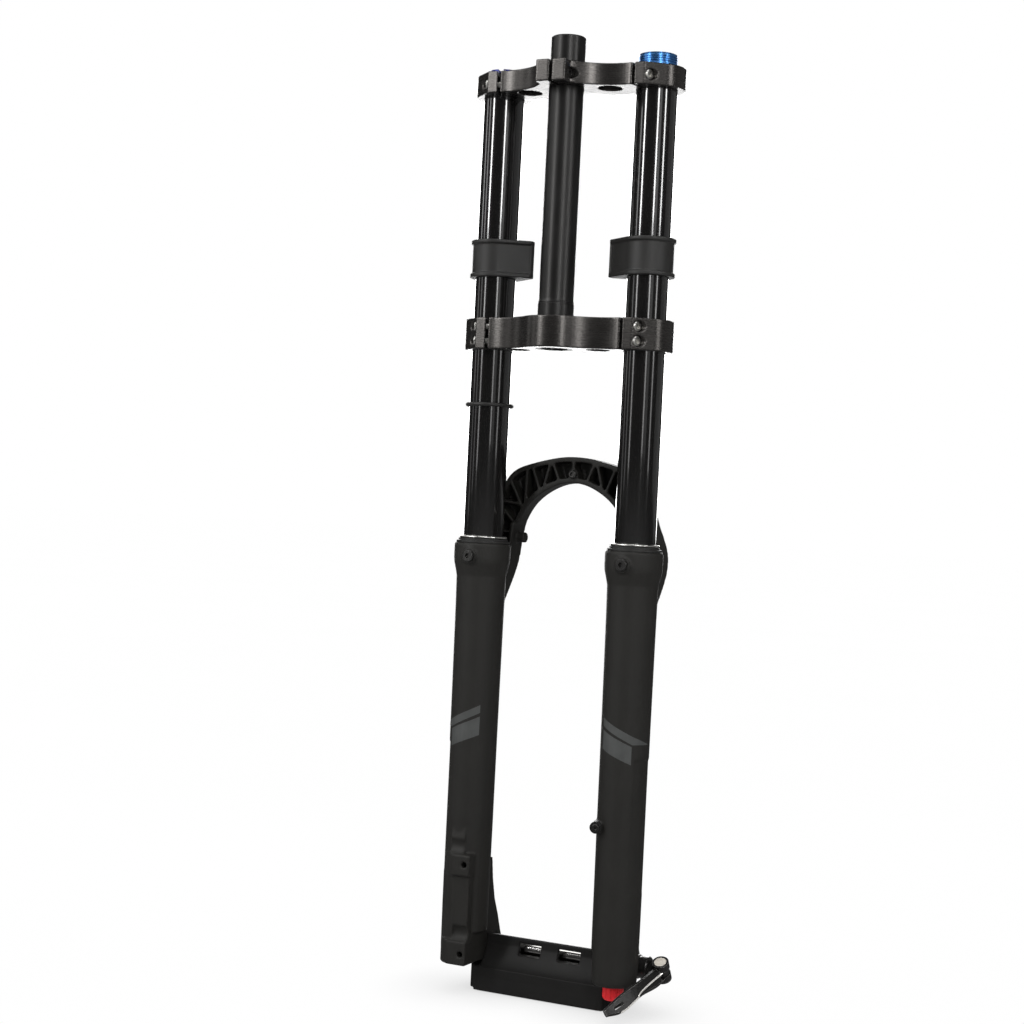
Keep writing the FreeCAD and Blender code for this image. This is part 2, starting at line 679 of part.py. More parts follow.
def arch_blank():
    """Arch between its two edges, trimmed to its side view."""
    rear, front, rim = arch_back.value, arch_front.value, rim_z.value
    feet = []
    for sign in (1, -1):
        ends = [(sign * points[-1][0], points[-1][1]) for points in (ARCH_OUTER, ARCH_INNER)]
        feet.append(Part.makeLine(*at_y(ends, ARCH_START_Y)))
    wire = Part.Wire(Part.__sortEdges__([
        arch_edge(ARCH_OUTER), feet[0], arch_edge(ARCH_INNER), feet[1]]))
    block = Part.Face(wire).extrude(Vector(0, front + 5 - ARCH_START_Y, 0))
    side_view = [      # (y, z)
        (rear, -100.0), (front - 3.5, -100.0), (front - 1.0, -118.0), (front, -135.0),
        (front, -158.0), (front - 1.4, -180.0), (front - 5.0, -204.0), (front - 11.0, -230.0),
        (front - 17.5, -255.0), (front - 22.5, -275.0), (27.0, -275.0), (27.0, rim - 1.0),
        (40.0, rim - 1.0), (40.0, -168.5), (rear, -166.5)]
    profile = [Vector(-100, y, z) for y, z in side_view]
    return block.common(extruded(profile, Vector(200, 0, 0)))


def arch_pocket():
    """The hollow behind the front skin, inside the outer and inner flanges."""
    rear = arch_back.value
    outer = shifted(ARCH_OUTER[:13], -arch_lip_out.value)
    inner = shifted(ARCH_INNER[:9], arch_lip_in.value)
    depth = arch_front.value - arch_skin.value - rear + POCKET_RUN
    half = extruded(at_y(outer + inner[::-1], rear - POCKET_RUN), Vector(0, depth, 0))
    return half.fuse(mirrored(half))


def rib(start_x, start_z, end_x, end_z):
    run, rise = end_x - start_x, end_z - start_z
    scale = arch_rib.value / math.hypot(run, rise) / 2
    off_x, off_z = -rise * scale, run * scale
    corners = [(start_x + off_x, start_z + off_z), (end_x + off_x, end_z + off_z),
               (end_x - off_x, end_z - off_z), (start_x - off_x, start_z - off_z)]
    return extruded(at_y(corners, arch_back.value),
                    Vector(0, arch_front.value - arch_back.value, 0))


def arch_web():
    """Ribs on both sides, one on the centre line, and the boss of the arch screw."""
    ribs = [rib(*line) for line in ARCH_RIBS]
    ribs += [mirrored(shape) for shape in ribs]
    ribs.append(rib(0.0, -112.0, 0.0, -135.0))
    boss = Part.makeCylinder(4.6, arch_front.value - arch_back.value,
                             Vector(0, arch_back.value, ARCH_SCREW_Z), Vector(0, 1, 0))
    return ribs[0].multiFuse(ribs[1:] + [boss])


def arch():
    """Hollow truss open to the rear, standing ahead of the stanchions."""
    return feature("Arch", arch_blank().cut(arch_pocket().cut(arch_web())))


# -------------------------------------------------------------- lower casting
DROP_THICK_R = 19.0
DROP_THICK_L = 21.0
drop_outer_l = -drop_half - DROP_THICK_L
post_low = post_high - post_gap
# (radius, height)
LEG_PROFILE = [
    (0, foot_z), (17.4, foot_z), (18.7, foot_z + 3.0), (19.2, foot_z + 14.0),
    (19.45, -490.0), (19.75, -420.0), (20.0, -330.0), (20.5, -240.0), (20.9, -214.0),
    (22.2, -208.0), (23.4, -203.0), (bulge_rad, -199.5), (bulge_rad, rim_z - 1.6),
    (bulge_rad - 1.0, rim_z), (0, rim_z)]
# (y, z)
DROPOUT = [
    (30.0, -520.0), (30.0, -452.0), (44.6, -452.0), (47.4, -470.0), (52.5, -488.0),
    (60.0, -503.0), (axle_y + 12.4, axle_z + 8.4), (axle_y + 12.4, axle_z - 8.4),
    (axle_y + 2.0, axle_z - 14.7), (axle_y - 8.0, foot_z - 0.9), (lead, foot_z)]


def leg_solids(tag, side):
    return [leg_turned("LegOuter" + tag, side, LEG_PROFILE),
            cyl("BleedBoss" + tag, 6.6, 8.0, side * half_gap, bleed_y, bleed_z, TO_Y)]


def leg_tools(tag, side):
    return [
        leg_cyl("Bore" + tag, side, bore_rad, rim_z - floor_z + 5, floor_z),
        leg_cyl("FoamSeat" + tag, side, 20.2, 30.0, rim_z - 15),
        leg_cyl("SealSeat" + tag, side, seal_rad, 30.0, rim_z - 10),
        leg_cyl("StudHole" + tag, side, 5.0, 60.0, foot_z - 5),
        leg_cyl("NutPit" + tag, side, 9.0, 17.0, foot_z - 10),
        leg_cyl("Clear" + tag, side, 22.9, 100.0, rim_z),
        cyl("BleedHole" + tag, 2.6, 26.0, side * half_gap, bleed_y - 5, bleed_z, TO_Y)]


def dropout_solids():
    """Forward of the legs, with flat inner faces and a boss around the axle."""
    return [
        slab("DropR", "YZ_Plane", DROPOUT, drop_half, drop_half + DROP_THICK_R),
        slab("DropL", "YZ_Plane", DROPOUT, drop_outer_l, -drop_half),
        cyl("DropBossR", 15.0, DROP_THICK_R, drop_half, axle_y, axle_z, TO_X),
        cyl("DropBossL", 15.0, DROP_THICK_L, drop_outer_l, axle_y, axle_z, TO_X)]


def dropout_tools():
    flat_y, flat_z = (-5.0, 50.0), (foot_z - 5, floor_z - 3)
    tools = [box("FlatR", (drop_half - 12, drop_half), flat_y, flat_z),
             box("FlatL", (-drop_half, -drop_half + 12), flat_y, flat_z)]
    for name, radius, length, x in (
            ("AxleBoreR", axle_rad + 0.05, 60.0, drop_half - 5),
            ("AxleBoreL", axle_rad + 0.1, 30.0, -drop_half - 25),
            ("NutBore", 10.0, 30.0, -drop_half - 35),
            ("NutFace", 12.8, 20.0, -drop_half - 41.0),
            ("HubSeatR", 10.6, 1.2, drop_half),
            ("HubSeatL", 10.6, 1.2, -drop_half - 1.2)):
        tools.append(cyl(name, radius, length, x, axle_y, axle_z, TO_X))
    return tools


def post_solids():
    """Brake posts on the non-drive leg, the rail between them and the blend above."""
    return [
        slab("PostHigh", "XY_Plane", [
            (-54.9, post_face), (-70.0, post_face), (-76.0, 3.5), (-80.5, 8.5), (-83.0, 14.0),
            (-83.0, lead), (-54.9, lead)], post_high - 9.5, post_high + 8.5),
        slab("PostLow", "XY_Plane", [
            (-drop_half, post_face), (-72.0, post_face), (-78.0, 4.0), (-82.0, 9.0),
            (-84.5, 14.0), (-86.0, 20.0), (-86.0, lead), (-drop_half, lead)],
            foot_z, post_low + 10.5),
        slab("PostRail", "XY_Plane", [
            (-55.4, post_face + 2.6), (-71.0, post_face + 2.6), (-77.5, 6.1), (-81.5, 10.5),
            (-83.0, 15.0), (-83.0, lead), (-55.4, lead)], post_high - 70.0, post_high - 8.5),
        slab("PostBlend", "YZ_Plane", [
            (post_face + 1.4, post_high + 8.4), (post_face + 5.6, post_high + 30.0),
            (lead - 6, post_high + 36.0), (lead - 6, post_high + 8.4)], -75.0, -62.0)]


def post_tools():
    """A scoop above each post and the two bolt holes."""
    return [
        cyl("ScoopHigh", 8.6, 25.0, -77.0, post_face - 3.2, post_high + 15.6, TO_X),
        cyl("ScoopLow", 7.6, 19.0, -69.0, post_face - 2.0, post_low + 17.6, TO_X),
        cyl("PostHoleHigh", post_hole, 8.3, post_x, post_face, post_high, TO_Y),
        cyl("PostHoleLow", post_hole, 8.3, post_x, post_face, post_low, TO_Y)]


def panel_tool(tag, side):
    """Shallow panel on the outboard side of a leg."""
    corners = [(40.0 * math.sin(angle), -40.0 * math.cos(angle))
               for angle in (math.radians(46.0), math.radians(128.0))]
    wedge = leg_slab("PanelWedge" + tag, side, [(0, 0), corners[0], (44.0, 0), corners[1]],
                     -462.5, -353.5)
    core = leg_cyl("PanelCore" + tag, side, 19.35, 140.0, -480.0)
    return cut("Panel" + tag, wedge, [core])


def lower_casting():
    solids, tools = [], []
    for tag, side in SIDES:
        solids += leg_solids(tag, side)
        tools += leg_tools(tag, side)
    solids += dropout_solids()
    tools += dropout_tools()
    solids += post_solids()
    tools += post_tools()
    # hose-guide stub inboard of the non-drive leg, guide boss on the drive leg
    guide_turn = aim(GUIDE_OUT)
    solids += [cyl("HoseStub", 4.4, 14.0, -56.0, lead + 27.0, rim_z + 6.0, TO_X),
               cyl("GuideBoss", 4.3, 13.0, *GUIDE_BASE, guide_turn)]
    tools.append(cyl("GuideTap", 1.95, 9.0, *along(GUIDE_BASE, GUIDE_OUT, 8.521), guide_turn))
    tools += [panel_tool(tag, side) for tag, side in SIDES]
    solids.append(arch())
    tools.append(cyl("ArchScrewHole", 2.1, 11.0, 0, arch_back - 1, ARCH_SCREW_Z, TO_Y))
    return cut("Casting", fuse("CastingRaw", solids), tools)


node(lower_casting(), "lower_casting")


# ------------------------------------------------------ leg seals and bushings
def sleeve(name, side, inner, outer, low, high):
    return leg_turned(name, side, [(inner, low), (outer, low), (outer, high), (inner, high)])


for tag, side in LONG_SIDES:
    node(leg_turned("Wiper_" + tag, side, [
        (17.08, rim_z - 9.9), (21.15, rim_z - 9.9), (21.15, rim_z + 0.02), (22.4, rim_z + 0.02),
        (22.4, rim_z + 1.6), (20.6, rim_z + 2.0), (20.6, rim_z + 3.4), (19.2, rim_z + 4.0),
        (18.3, rim_z + 4.1), (18.3, rim_z + 5.4), (17.08, rim_z + 5.8)]), "wiper_seal_" + tag)
    node(leg_torus("Garter_" + tag, side, 19.32, 0.85, rim_z + 4.95), "garter_spring_" + tag)
    node(sleeve("Foam_" + tag, side, 17.3, 20.15, rim_z - 14.9, rim_z - 10.1),
         "foam_ring_" + tag)
    node(sleeve("BushHigh_" + tag, side, bush_rad, bore_rad, -228.0, -203.0),
         "upper_bushing_" + tag)
    node(sleeve("BushLow_" + tag, side, bush_rad, bore_rad, -346.0, -322.0),
         "lower_bushing_" + tag)

# ----------------------------------------------------- bleed and arch screws
BLEED_HEAD = [(0, 0), (4.9, 0), (4.9, 1.9), (4.4, 2.4), (0, 2.4)]
node(group("Bleeds", [
    screw("Bleed" + tag, BLEED_HEAD, (side * half_gap, bleed_y, bleed_z), REAR,
          shank=(2.5, 3.2, 3.0), socket=(2.2, 4.0, 0.6)) for tag, side in SIDES]),
    "bleed_screws")
node(screw("ArchScrew", [(0, 0), (3.9, 0), (3.7, 1.4), (2.8, 2.2), (0, 2.2)],
           (0, arch_back - 0.02, ARCH_SCREW_Z), REAR,
           shank=(2.0, 10.0, 9.52), socket=(1.7, 4.0, 0.88)), "arch_screw")


# ----------------------------------------------------------------- foot nuts
def foot_nut(tag, side):
    blank = hex_prism("NutHex" + tag, 8.0, 4.6, side * half_gap, lead, foot_z + 1.6)
    return cut("FootNut" + tag, blank, [leg_cyl("NutBoreF" + tag, side, 4.96, 20.0, foot_z - 5)])


node(group("FootNuts", [foot_nut(tag, side) for tag, side in SIDES]), "foot_nuts")
node(group("CrushWashers", [
    sleeve("Crush" + tag, side, 4.97, 8.6, foot_z + 6.25, foot_z + 6.95)
    for tag, side in SIDES]), "crush_washers")

# ------------------------------------------------------------- rebound adjuster
FLUTES = 12
FLUTE_RING = 9.3      # radius of the circle of flute centres


def rebound_knob():
    blank = leg_turned("KnobRaw", 1, [
        (0, foot_z - 12.4), (7.2, foot_z - 12.4), (knob_rad - 0.4, foot_z - 11.2),
        (knob_rad, foot_z - 9.8), (knob_rad, foot_z - 2.2), (knob_rad - 0.9, foot_z - 0.6),
        (3.0, foot_z - 0.6), (3.0, foot_z + 0.4), (0, foot_z + 0.4)])
    flutes = []
    for k in range(FLUTES):
        angle = math.radians(360.0 / FLUTES * (k + 0.5))
        flutes.append(cyl("Flute%d" % k, 1.1, 20.0, half_gap + FLUTE_RING * math.cos(angle),
                          lead + FLUTE_RING * math.sin(angle), foot_z - 14))
    return cut("Knob", blank, flutes)


node(rebound_knob(), "rebound_knob")
node(leg_turned("ReboundRod", 1, [
    (0, foot_z + 0.45), (2.3, foot_z + 0.45), (2.3, -306.0), (0.8, -301.0), (0, -301.0)]),
    "rebound_rod")

# -------------------------------------------------------------------- axle set
AXLE_BORE = 5.2
PIN_RAD = 5.0
PIN_LEN = 17.6
TONGUE_HALF = 6.2      # half width of the tongue, and radius of its round end
tilt = math.radians(lever_tilt.value)
pin_axis = Vector(0, -math.cos(tilt), math.sin(tilt))
cam_point = Vector(cam_x.value, axle_y.value, axle_z.value)
outward = Vector(*DRIVE)
across_pin = pin_axis.cross(outward)


def pin_cylinder(radius, length):
    """Cylinder on the cam-pin axis, centred on the cam point."""
    return Part.makeCylinder(radius, length, cam_point - pin_axis * (length / 2), pin_axis)


def pin_plate(low, high, half_width, thickness):
    """Plate square to the cam pin, low to high outwards from the cam point."""
    base = cam_point - pin_axis * (thickness / 2)
    corners = [base + outward * x + across_pin * y for x, y in (
        (low, -half_width), (high, -half_width), (high, half_width), (low, half_width))]
    return extruded(corners, pin_axis * thickness)


def axle():
    """Hollow shaft with a grooved drive-side head, end plug and cam tongue."""
    shaft = turned("AxleShaft", [
        (AXLE_BORE, -20.5), (axle_rad - 0.8, -20.5), (axle_rad, -19.3),
        (axle_rad, drop_half + 19.2), (9.2, drop_half + 19.2), (9.8, drop_half + 19.8),
        (9.8, drop_half + 24.0), (8.8, drop_half + 24.8), (8.8, drop_half + 26.2),
        (9.4, drop_half + 26.8), (9.4, drop_half + 32.6), (8.6, drop_half + 33.4),
        (AXLE_BORE, drop_half + 33.4)], 0, axle_y, axle_z, TO_X)
    left = cyl("AxleLeft", axle_rad, 60.0, -76.0, axle_y, axle_z, TO_X)
    # carries the shaft's bore through to the non-drive end
    left_bore = cyl("AxleLeftBore", AXLE_BORE, 60.0, -77.0, axle_y, axle_z, TO_X)
    plug = cyl("AxlePlug", 8.0, 8.0, drop_half + 25.4, axle_y, axle_z, TO_X)
    tongue = pin_cylinder(TONGUE_HALF, 5.0).fuse(pin_plate(-17, 0, TONGUE_HALF, 5.0))
    tongue = tongue.cut(pin_cylinder(PIN_RAD + 0.06, 12.0))
    tube = cut("AxleTube", fuse("AxleJoin", [left, shaft]), [left_bore])
    return fuse("Axle", [tube, plug, feature("AxleTongue", tongue)])


node(turned("AxleNut", [
    (7.56, 0), (9.95, 0), (9.95, 15.6), (12.2, 15.6), (12.2, 18.0), (11.6, 18.6), (7.56, 18.6)],
    -drop_half - 5.4, axle_y, axle_z, aim((-1, 0, 0))), "axle_nut")
node(axle(), "axle")
node(feature("CamPin", pin_cylinder(PIN_RAD, PIN_LEN)), "cam_pin")

# ------------------------------------------------------------ quick-release lever
BLADE_FACE = Vector(0.354, -0.908, 0.2246)      # direction the blade's broad face looks
# Blade stations from the cam to the tip: centre x, y, z, width, thickness
BLADE = [
    (98.4, 51.0, -528.4, 12.0, 8.4), (98.0, 42.5, -531.6, 13.0, 7.6),
    (95.9, 31.5, -534.2, 12.4, 6.6), (93.0, 20.5, -537.0, 11.2, 5.8),
    (89.8, 11.0, -541.0, 12.0, 5.2), (86.0, 2.5, -546.0, 12.6, 4.8),
    (81.5, -5.2, -549.8, 9.6, 4.2), (77.9, -10.6, -552.2, 6.0, 3.2)]
BLADE_CHAMFER = 1.3
blade_path = [Vector(*station[:3]) for station in BLADE]


def blade_frame(start, end):
    """Unit vectors along the blade, out of its face and across it."""
    forward = (end - start).normalize()
    normal = (BLADE_FACE - forward * BLADE_FACE.dot(forward)).normalize()
    return forward, normal, forward.cross(normal)


def blade_section(i):
    """Eight-sided section at station i."""
    _, normal, across = blade_frame(blade_path[max(i - 1, 0)],
                                    blade_path[min(i + 1, len(BLADE) - 1)])
    half, deep = BLADE[i][3] / 2, BLADE[i][4] / 2
    inner = half - BLADE_CHAMFER
    corners = [(half, -deep * 0.5), (half, deep - BLADE_CHAMFER), (inner, deep), (-inner, deep),
               (-half, deep - BLADE_CHAMFER), (-half, -deep * 0.5), (-inner, -deep),
               (inner, -deep)]
    points = [blade_path[i] + across * side + normal * up for side, up in corners]
    return Part.makePolygon(points + points[:1])


def blade_window():
    """Narrow slot through the blade near its tip."""
    forward, normal, across = blade_frame(blade_path[4], blade_path[7])
    middle = blade_path[5] + forward * 3.6 - normal * 8
    corners = [middle + across * side + forward * ahead for side, ahead in (
        (1.2, -4.8), (1.2, 4.6), (-1.2, 4.6), (-1.2, -4.8))]
    return extruded(corners, normal * 16)


def lever():
    """Lofted blade with a slotted cam head."""
    blade = Part.makeLoft([blade_section(i) for i in range(len(BLADE))], True, False)
    shape = blade.fuse(pin_cylinder(cam_rad.value, PIN_LEN))
    shape = shape.cut(pin_plate(-12, 12, 12, 5.4))
    return feature("Lever", shape.cut(pin_cylinder(PIN_RAD, 30.0)).cut(blade_window()))


node(lever(), "qr_lever")

# ------------------------------------------------------------------ cable guide
guide_seat = along(GUIDE_BASE, GUIDE_OUT, 13.02)
node(turned("CableGuide", [
    (2.0, 0), (4.7, 0), (4.7, 1.0), (4.0, 1.3), (4.0, 1.9), (4.9, 2.2), (4.9, 3.4), (4.4, 3.9),
    (2.0, 3.9)], *guide_seat, aim(GUIDE_OUT)), "cable_guide")
node(screw("GuideScrew", [(0, 0), (3.2, 0), (3.2, 1.2), (2.6, 1.8), (0, 1.8)],
           along(guide_seat, GUIDE_OUT, 3.92), GUIDE_OUT,
           shank=(1.85, 7.5, 7.32), socket=(1.5, 3.0, 0.48)), "cable_guide_screw")

# -------------------------------------------------------------- travel indicator
node(leg_torus("TravelRing", -1, tube_rad + 1.66, 1.6, ring_z), "travel_ring")

# -------------------------------------------------------------- hub-gap spacer
SOLE_TOP = -541.4
SOLE_BOTTOM = -561.5
SWEEP_STEPS = 8
# start, control and end points of the hollow sweep from the sole to the rear wall: (y, z)
SWEEP = [(27.0, SOLE_TOP), (34.8, -537.8), (39.9, -523.0)]
wall_rear = spacer_rear + 14.0
wall_front = wall_rear + 3.4


def sweep_points():
    points = []
    for k in range(SWEEP_STEPS + 1):
        part = k / SWEEP_STEPS
        weights = ((1 - part) ** 2, 2 * part * (1 - part), part * part)
        points.append(tuple(sum(weight * point[axis] for weight, point in zip(weights, SWEEP))
                            for axis in (0, 1)))
    return points


def shipping_spacer():
    """Cradle under the axle line between the dropouts, on a wide hollow sole."""
    # the front wall mirrors the rear one about the axle
    far_rear, far_front = axle_y * 2 - wall_front, axle_y * 2 - wall_rear
    section = [(spacer_rear, SOLE_BOTTOM)] + sweep_points() + [
        (wall_rear, spacer_rim), (wall_front, spacer_rim),
        (wall_front, axle_z, (axle_y, axle_z - 10.6)), (far_rear, axle_z),
        (far_rear, -524.5), (far_front, -524.5), (far_front, -532.0), (76.0, -540.6),
        (82.0, SOLE_TOP), (82.0, SOLE_BOTTOM)]
    core = slab("SpacerCore", "YZ_Plane", section, -drop_half + 0.25, drop_half - 0.25)
    sole = slab("SpacerSole", "XZ_Plane", [
        (-65.8, SOLE_TOP), (-65.8, -560.9), (-65.2, SOLE_BOTTOM), (65.2, SOLE_BOTTOM),
        (65.8, -560.9), (65.8, SOLE_TOP)], spacer_rear + 0.6, 82.0)
    tab = box("SpacerTab", (-53.9, -49.6), (33.0, 38.0), (-543.0, -537.4))
    window_y, window_z = (spacer_rear, wall_rear + 3.6), (-529.8, -519.4)
    tools = [
        box("SpacerWindowA", (-24.0, -4.0), window_y, window_z),
        box("SpacerWindowB", (12.0, 32.0), window_y, window_z),
        *pair("SpacerNotch", 10.2, 30.0, half_gap, lead, -570.0),
        cyl("SpacerReliefR", 15.2, 14.0, 54.9, axle_y, axle_z, TO_X),
        cyl("SpacerReliefL", 15.2, 14.0, -68.9, axle_y, axle_z, TO_X),
        box("SpacerHollow", (-48.0, 48.0), (spacer_rear + 4.0, 78.0), (-565.0, -545.0))]
    return cut("Spacer", fuse("SpacerRaw", [core, sole, tab]), tools)


node(shipping_spacer(), "shipping_spacer")

# ------------------------------------------------------------------ check, write
doc.recompute()
faults = []
for obj in doc.Objects:
    if "Invalid" in obj.State or "Error" in obj.State:
        faults.append("%s %s" % (obj.Name, obj.State))
for obj in nodes:
    if obj.Shape.isNull() or not obj.Shape.isValid() or not obj.Shape.Solids:
        faults.append("%s has no valid solid" % obj.Label)
if faults:
    raise RuntimeError("; ".join(faults))

os.makedirs("parts", exist_ok=True)
for obj in nodes:
    obj.Shape.exportStep(os.path.join("parts", obj.Label + ".step"))
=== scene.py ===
"""A double-crown suspension fork: finishes, rounded castings, lever details, leg bars and studio.

Metres, +Z up. The two legs run along Z at x = +-0.069, y = 0.025. The axle runs along X and
its quick-release lever is on the +X side. The camera stands on the -Y side, towards +X.
"""
import json
import math

import bmesh
import bpy
from mathutils import Matrix, Vector
from mathutils.bvhtree import BVHTree

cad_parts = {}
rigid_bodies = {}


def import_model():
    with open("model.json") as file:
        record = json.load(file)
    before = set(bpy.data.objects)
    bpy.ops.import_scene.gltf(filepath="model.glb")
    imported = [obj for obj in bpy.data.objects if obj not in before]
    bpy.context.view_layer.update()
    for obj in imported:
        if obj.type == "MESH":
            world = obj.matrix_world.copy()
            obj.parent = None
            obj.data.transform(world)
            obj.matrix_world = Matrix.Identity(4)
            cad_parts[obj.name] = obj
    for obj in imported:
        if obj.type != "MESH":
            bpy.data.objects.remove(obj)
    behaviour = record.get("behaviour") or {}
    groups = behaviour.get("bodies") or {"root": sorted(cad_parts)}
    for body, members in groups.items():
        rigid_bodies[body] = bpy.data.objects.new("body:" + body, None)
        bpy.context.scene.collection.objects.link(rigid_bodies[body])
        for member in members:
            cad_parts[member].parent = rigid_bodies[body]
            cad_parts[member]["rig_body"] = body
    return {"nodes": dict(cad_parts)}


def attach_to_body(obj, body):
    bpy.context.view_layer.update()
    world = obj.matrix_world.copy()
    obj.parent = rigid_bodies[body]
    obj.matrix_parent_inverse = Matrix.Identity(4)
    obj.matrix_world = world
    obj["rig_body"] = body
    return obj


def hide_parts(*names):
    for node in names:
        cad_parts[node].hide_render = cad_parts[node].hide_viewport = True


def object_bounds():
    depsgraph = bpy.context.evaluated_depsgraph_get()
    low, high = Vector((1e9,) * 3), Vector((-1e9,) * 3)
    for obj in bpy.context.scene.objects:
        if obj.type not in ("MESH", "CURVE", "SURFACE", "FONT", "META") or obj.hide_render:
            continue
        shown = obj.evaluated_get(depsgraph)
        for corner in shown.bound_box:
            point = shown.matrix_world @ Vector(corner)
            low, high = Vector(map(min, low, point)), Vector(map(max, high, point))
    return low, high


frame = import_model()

nodes = frame["nodes"]
scene = bpy.context.scene
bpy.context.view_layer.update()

WELD_DISTANCE = 0.000002


# ---------------------------------------------------------------- node graphs
class Graph:
    """A cleared node tree. Input values may be numbers, colours or sockets to link from."""

    def __init__(self, tree, output_kind):
        self.tree = tree
        tree.nodes.clear()
        self.output = self.node(output_kind)

    def fill(self, node, inputs):
        for key, value in inputs.items():
            socket = node.inputs[key]
            if hasattr(value, "is_output"):
                self.tree.links.new(value, socket)
            elif isinstance(value, tuple) and len(value) == 3 and socket.type == "RGBA":
                socket.default_value = (*value, 1.0)
            else:
                socket.default_value = value

    def node(self, kind, inputs=None, **settings):
        made = self.tree.nodes.new(kind)
        for key, value in settings.items():
            setattr(made, key, value)
        self.fill(made, inputs or {})
        return made

    def span(self, value, low, high, to_low, to_high, interpolation="LINEAR"):
        """Map low..high onto to_low..to_high."""
        return self.node("ShaderNodeMapRange", {
            "Value": value, "From Min": low, "From Max": high,
            "To Min": to_low, "To Max": to_high}, interpolation_type=interpolation).outputs[0]

    def mix_shaders(self, factor, first, second):
        return self.node("ShaderNodeMixShader", {0: factor, 1: first, 2: second}).outputs[0]


class MaterialGraph(Graph):
    """A new material with one principled shader and object coordinates."""

    def __init__(self, name):
        self.material = bpy.data.materials.new(name)
        self.material.use_nodes = True
        super().__init__(self.material.node_tree, "ShaderNodeOutputMaterial")
        self.shader = self.node("ShaderNodeBsdfPrincipled")
        self.fill(self.output, {"Surface": self.shader.outputs[0]})
        self.coords = self.node("ShaderNodeTexCoord").outputs["Object"]

    def scaled_coords(self, scale):
        return self.node("ShaderNodeMapping", {"Vector": self.coords, "Scale": scale}).outputs[0]

    def noise(self, scale, detail, rough, vector=None):
        return self.node("ShaderNodeTexNoise", {
            "Vector": self.coords if vector is None else vector,
            "Scale": scale, "Detail": detail, "Roughness": rough}).outputs["Fac"]

    def spread(self, noise, to_low, to_high):
        """Map the range that noise mostly fills onto to_low..to_high."""
        return self.span(noise, 0.3, 0.7, to_low, to_high)

    def calc(self, operation, first, second, clamp=False):
        return self.node("ShaderNodeMath", {0: first, 1: second},
                         operation=operation, use_clamp=clamp).outputs[0]

    def mix(self, factor, first, second):
        return self.node("ShaderNodeMix", {0: factor, 6: first, 7: second},
                         data_type="RGBA").outputs[2]

    def edge(self, radius):
        """A mask, 1 near a sharp edge and 0 on open faces, and the rounded normal."""
        rounded = self.node("ShaderNodeBevel", {"Radius": radius}, samples=4).outputs[0]
        flat = self.node("ShaderNodeNewGeometry").outputs["Normal"]
        match = self.node("ShaderNodeVectorMath", operation="DOT_PRODUCT")
        self.fill(match, {0: rounded, 1: flat})
        return self.span(match.outputs["Value"], 0.995, 0.80, 0.0, 1.0), rounded

    def bump(self, height, distance, strength, normal=None):
        inputs = {"Strength": strength, "Distance": distance, "Height": height}
        if normal is not None:
            inputs["Normal"] = normal
        return self.node("ShaderNodeBump", inputs).outputs[0]


# ---------------------------------------------------------------- finishes
def finish(name, base, rough, metal=0.0, vary=0.15, cloud=22.0, grain=1400.0, grain_depth=4e-5,
           grain_strength=0.25, rough_vary=0.08, lines=None, lines_depth=1e-5,
           lines_strength=0.12, wear_and_sheen=0.0, wear_and_sheen_colour=(0.3, 0.3, 0.3), edge=0.0006, spec=0.5,
           coat=0.0, coat_rough=0.1):
    """A surface with slow tone change, fine grain, machining lines, and lighter edges that are
    partly wear and partly a painted highlight.

    vary and rough_vary are the spread of tone and roughness. cloud and grain are the noise
    scales of the slow change and the grain. lines is the noise scale along x, y and z.
    wear_and_sheen is the share of wear_and_sheen_colour on edges, painted there for wear and
    for the highlight that edges catch, and edge is the radius they are rounded to (0: none).
    """
    graph = MaterialGraph(name)
    slow = graph.noise(cloud, detail=4.0, rough=0.6)
    fine = graph.noise(grain, detail=2.0, rough=0.6)
    light = tuple(min(1.0, c * (1 + vary)) for c in base)
    dark = tuple(c * (1 - vary) for c in base)
    colour = graph.mix(graph.spread(slow, 0.0, 1.0), dark, light)
    roughness = graph.calc(
        "ADD", graph.spread(slow, rough - rough_vary / 2, rough + rough_vary / 2),
        graph.spread(fine, -rough_vary / 3, rough_vary / 3), clamp=True)
    if lines is not None:
        streaks = graph.noise(1.0, detail=2.0, rough=0.5, vector=graph.scaled_coords(lines))
        roughness = graph.calc("ADD", roughness,
                               graph.spread(streaks, -rough_vary / 2, rough_vary / 2), clamp=True)
    normal = None
    if edge > 0:
        mask, normal = graph.edge(edge)
        if wear_and_sheen > 0:
            # Scuffs break up the lighter edges, part wear and part painted highlight, and worn metal
            # is a little smoother.
            scuff = graph.noise(300.0, detail=4.0, rough=0.7)
            amount = graph.calc("MULTIPLY", mask, graph.span(scuff, 0.42, 0.62, 0.15, 1.0),
                                clamp=True)
            amount = graph.calc("MULTIPLY", amount, wear_and_sheen, clamp=True)
            colour = graph.mix(amount, colour, wear_and_sheen_colour)
            roughness = graph.calc("SUBTRACT", roughness, graph.calc("MULTIPLY", amount, 0.12),
                                   clamp=True)
    normal = graph.bump(fine, grain_depth, grain_strength, normal)
    if lines is not None:
        normal = graph.bump(streaks, lines_depth, lines_strength, normal)
    graph.fill(graph.shader, {
        "Base Color": colour, "Roughness": roughness, "Metallic": metal,
        "Specular IOR Level": spec, "Coat Weight": coat, "Coat Roughness": coat_rough,
        "Normal": normal})
    return graph.material


# Line scales: close bands stacked along the named axis
BANDS_Z = (40.0, 40.0, 9000.0)
WIDE_BANDS_Z = (90.0, 90.0, 1800.0)
BANDS_X = (2500.0, 120.0, 120.0)

# Values that several finishes share
METAL_GRAIN = dict(grain_depth=2e-5, grain_strength=0.15)
SATIN_GRAIN = dict(grain_depth=1e-5, grain_strength=0.12)
BOLT_GRAIN = dict(grain=3000, **METAL_GRAIN)
CAP = dict(vary=0.10, cloud=60, grain=2500, **SATIN_GRAIN, rough_vary=0.05, lines=BANDS_Z,
           lines_depth=4e-6, lines_strength=0.06, edge=0.0003)

